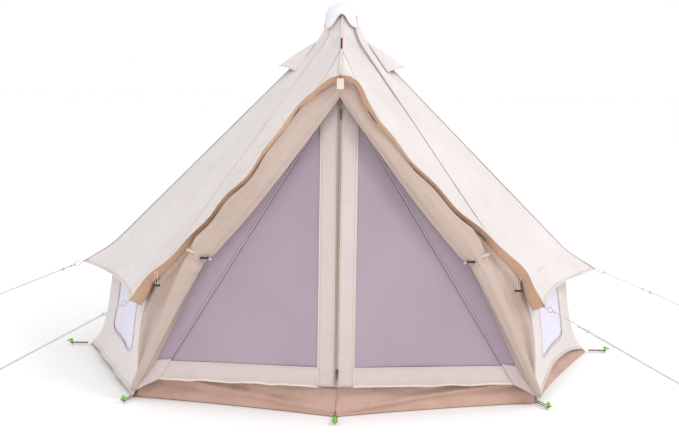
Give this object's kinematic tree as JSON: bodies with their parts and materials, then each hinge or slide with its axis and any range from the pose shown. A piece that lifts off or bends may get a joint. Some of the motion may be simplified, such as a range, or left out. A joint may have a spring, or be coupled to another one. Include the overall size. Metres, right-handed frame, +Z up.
{
  "type": "bell tent on poles",
  "caption": "Eight-sided canvas bell tent on a centre pole, with low walls, a porch with mesh doors on an A-shaped pole, groundsheet, guy ropes and pegs.",
  "frame": {"origin": "on the ground, on the centre pole's axis, at the underside of the groundsheet", "axes": "+Z up, doors face -Y, +X to the right when looking at the doors"},
  "size_m": [5.5216, 3.4134, 2.2352],
  "materials": {
    "canvas": "cream woven cotton canvas",
    "door_mesh": "fine mauve-grey insect mesh",
    "window_mesh": "fine white mesh",
    "groundsheet": "brown coated sheet",
    "pole_steel": "galvanised tube",
    "rubber": "black moulded rubber",
    "pole_cap": "moulded cap",
    "peg_steel": "zinc plated rod",
    "peg_green": "bright green moulded hook",
    "webbing": "dark elastic loop",
    "rope": "white braided cord",
    "runner": "pale grey moulded runner",
    "toggle": "dark moulded toggle",
    "loop_cord": "thin cream cord",
    "red_tab": "dark red woven tape",
    "zip_tape": "coil zip on tape",
    "zip_metal": "cast slider"
  },
  "bodies": {
    "tent": {"apex_cap": "canvas", "awning_canvas": "canvas", "awning_tab": "canvas", "centre_pole_cap": "pole_cap", "centre_pole_foot": "rubber", "centre_pole_lower": "pole_steel", "centre_pole_middle": "pole_steel", "centre_pole_upper": "pole_steel", "door_flap_left": "canvas", "door_flap_right": "canvas", "door_jamb_left": "canvas", "door_jamb_right": "canvas", "door_pole_bend": "pole_steel", "door_pole_feet": "rubber", "door_pole_lower_left": "pole_steel", "door_pole_lower_right": "pole_steel", "door_pole_upper_left": "pole_steel", "door_pole_upper_right": "pole_steel", "eave_rings": "peg_steel", "eave_skirt": "canvas", "eave_tabs": "canvas", "flap_ties": "canvas", "ground_pegs": "peg_steel", "groundsheet_floor": "groundsheet", "groundsheet_sides": "groundsheet", "guy_knots": "rope", "guy_rope_front_left": "rope", "guy_rope_front_right": "rope", "guy_rope_left": "rope", "guy_rope_right": "rope", "peg_heads": "peg_green", "peg_loops": "webbing", "ridge_tab": "red_tab", "roof_canvas": "canvas", "roof_top": "canvas", "side_mesh_left": "door_mesh", "side_mesh_right": "door_mesh", "tie_toggles": "toggle", "vent_hoods": "canvas", "vent_screens": "window_mesh", "wall_panels": "canvas", "window_meshes": "window_mesh"},
    "door_left": {"door_mesh_left": "door_mesh", "door_border_left": "canvas", "zip_chain_left": "zip_tape"},
    "door_right": {"door_mesh_right": "door_mesh", "door_border_right": "canvas", "zip_chain_right": "zip_tape"},
    "zip_slider_lower": {"zip_slider_lower": "zip_metal"},
    "zip_slider_upper": {"zip_slider_upper": "zip_metal"},
    "runner_left": {"guy_runner_left": "runner"},
    "runner_right": {"guy_runner_right": "runner"},
    "runner_front_left": {"guy_runner_front_left": "runner"},
    "runner_front_right": {"guy_runner_front_right": "runner"},
    "toggle_left": {"hanging_toggle_left": "toggle", "toggle_loop_left": "loop_cord"},
    "toggle_right": {"hanging_toggle_right": "toggle", "toggle_loop_right": "loop_cord"}
  },
  "joints": [
    {"name": "door_left_swing", "type": "hinge", "parent": "tent", "child": "door_left", "pos_m": [-0.89384, -1.14484, 0.1155], "axis": [-0.524, 0.0047, -0.8517], "range_deg": [0, 75]},
    {"name": "door_right_swing", "type": "hinge", "parent": "tent", "child": "door_right", "pos_m": [0.89384, -1.14484, 0.1155], "axis": [-0.524, -0.0047, 0.8517], "range_deg": [0, 75]},
    {"name": "zip_lower_slide", "type": "slide", "parent": "door_right", "child": "zip_slider_lower", "axis": [0, 0.1738, 0.9848], "range_m": [0, 0.9]},
    {"name": "zip_upper_slide", "type": "slide", "parent": "door_right", "child": "zip_slider_upper", "axis": [0, 0.1738, 0.9848], "range_m": [-0.25, 0]},
    {"name": "runner_left_slide", "type": "slide", "parent": "tent", "child": "runner_left", "axis": [-0.9241, 0, -0.3823], "range_m": [0, 0.25]},
    {"name": "runner_right_slide", "type": "slide", "parent": "tent", "child": "runner_right", "axis": [0.9241, 0, -0.3823], "range_m": [0, 0.25]},
    {"name": "runner_front_left_slide", "type": "slide", "parent": "tent", "child": "runner_front_left", "axis": [-0.7836, -0.4897, -0.3823], "range_m": [0, 0.25]},
    {"name": "runner_front_right_slide", "type": "slide", "parent": "tent", "child": "runner_front_right", "axis": [0.7836, -0.4897, -0.3823], "range_m": [0, 0.25]},
    {"name": "toggle_left_swing", "type": "hinge", "parent": "tent", "child": "toggle_left", "pos_m": [-0.9, -1.165, 0.664], "axis": [-1, 0, 0], "range_deg": [0, 35]},
    {"name": "toggle_right_swing", "type": "hinge", "parent": "tent", "child": "toggle_right", "pos_m": [0.9, -1.165, 0.664], "axis": [-1, 0, 0], "range_deg": [0, 35]}
  ]
}
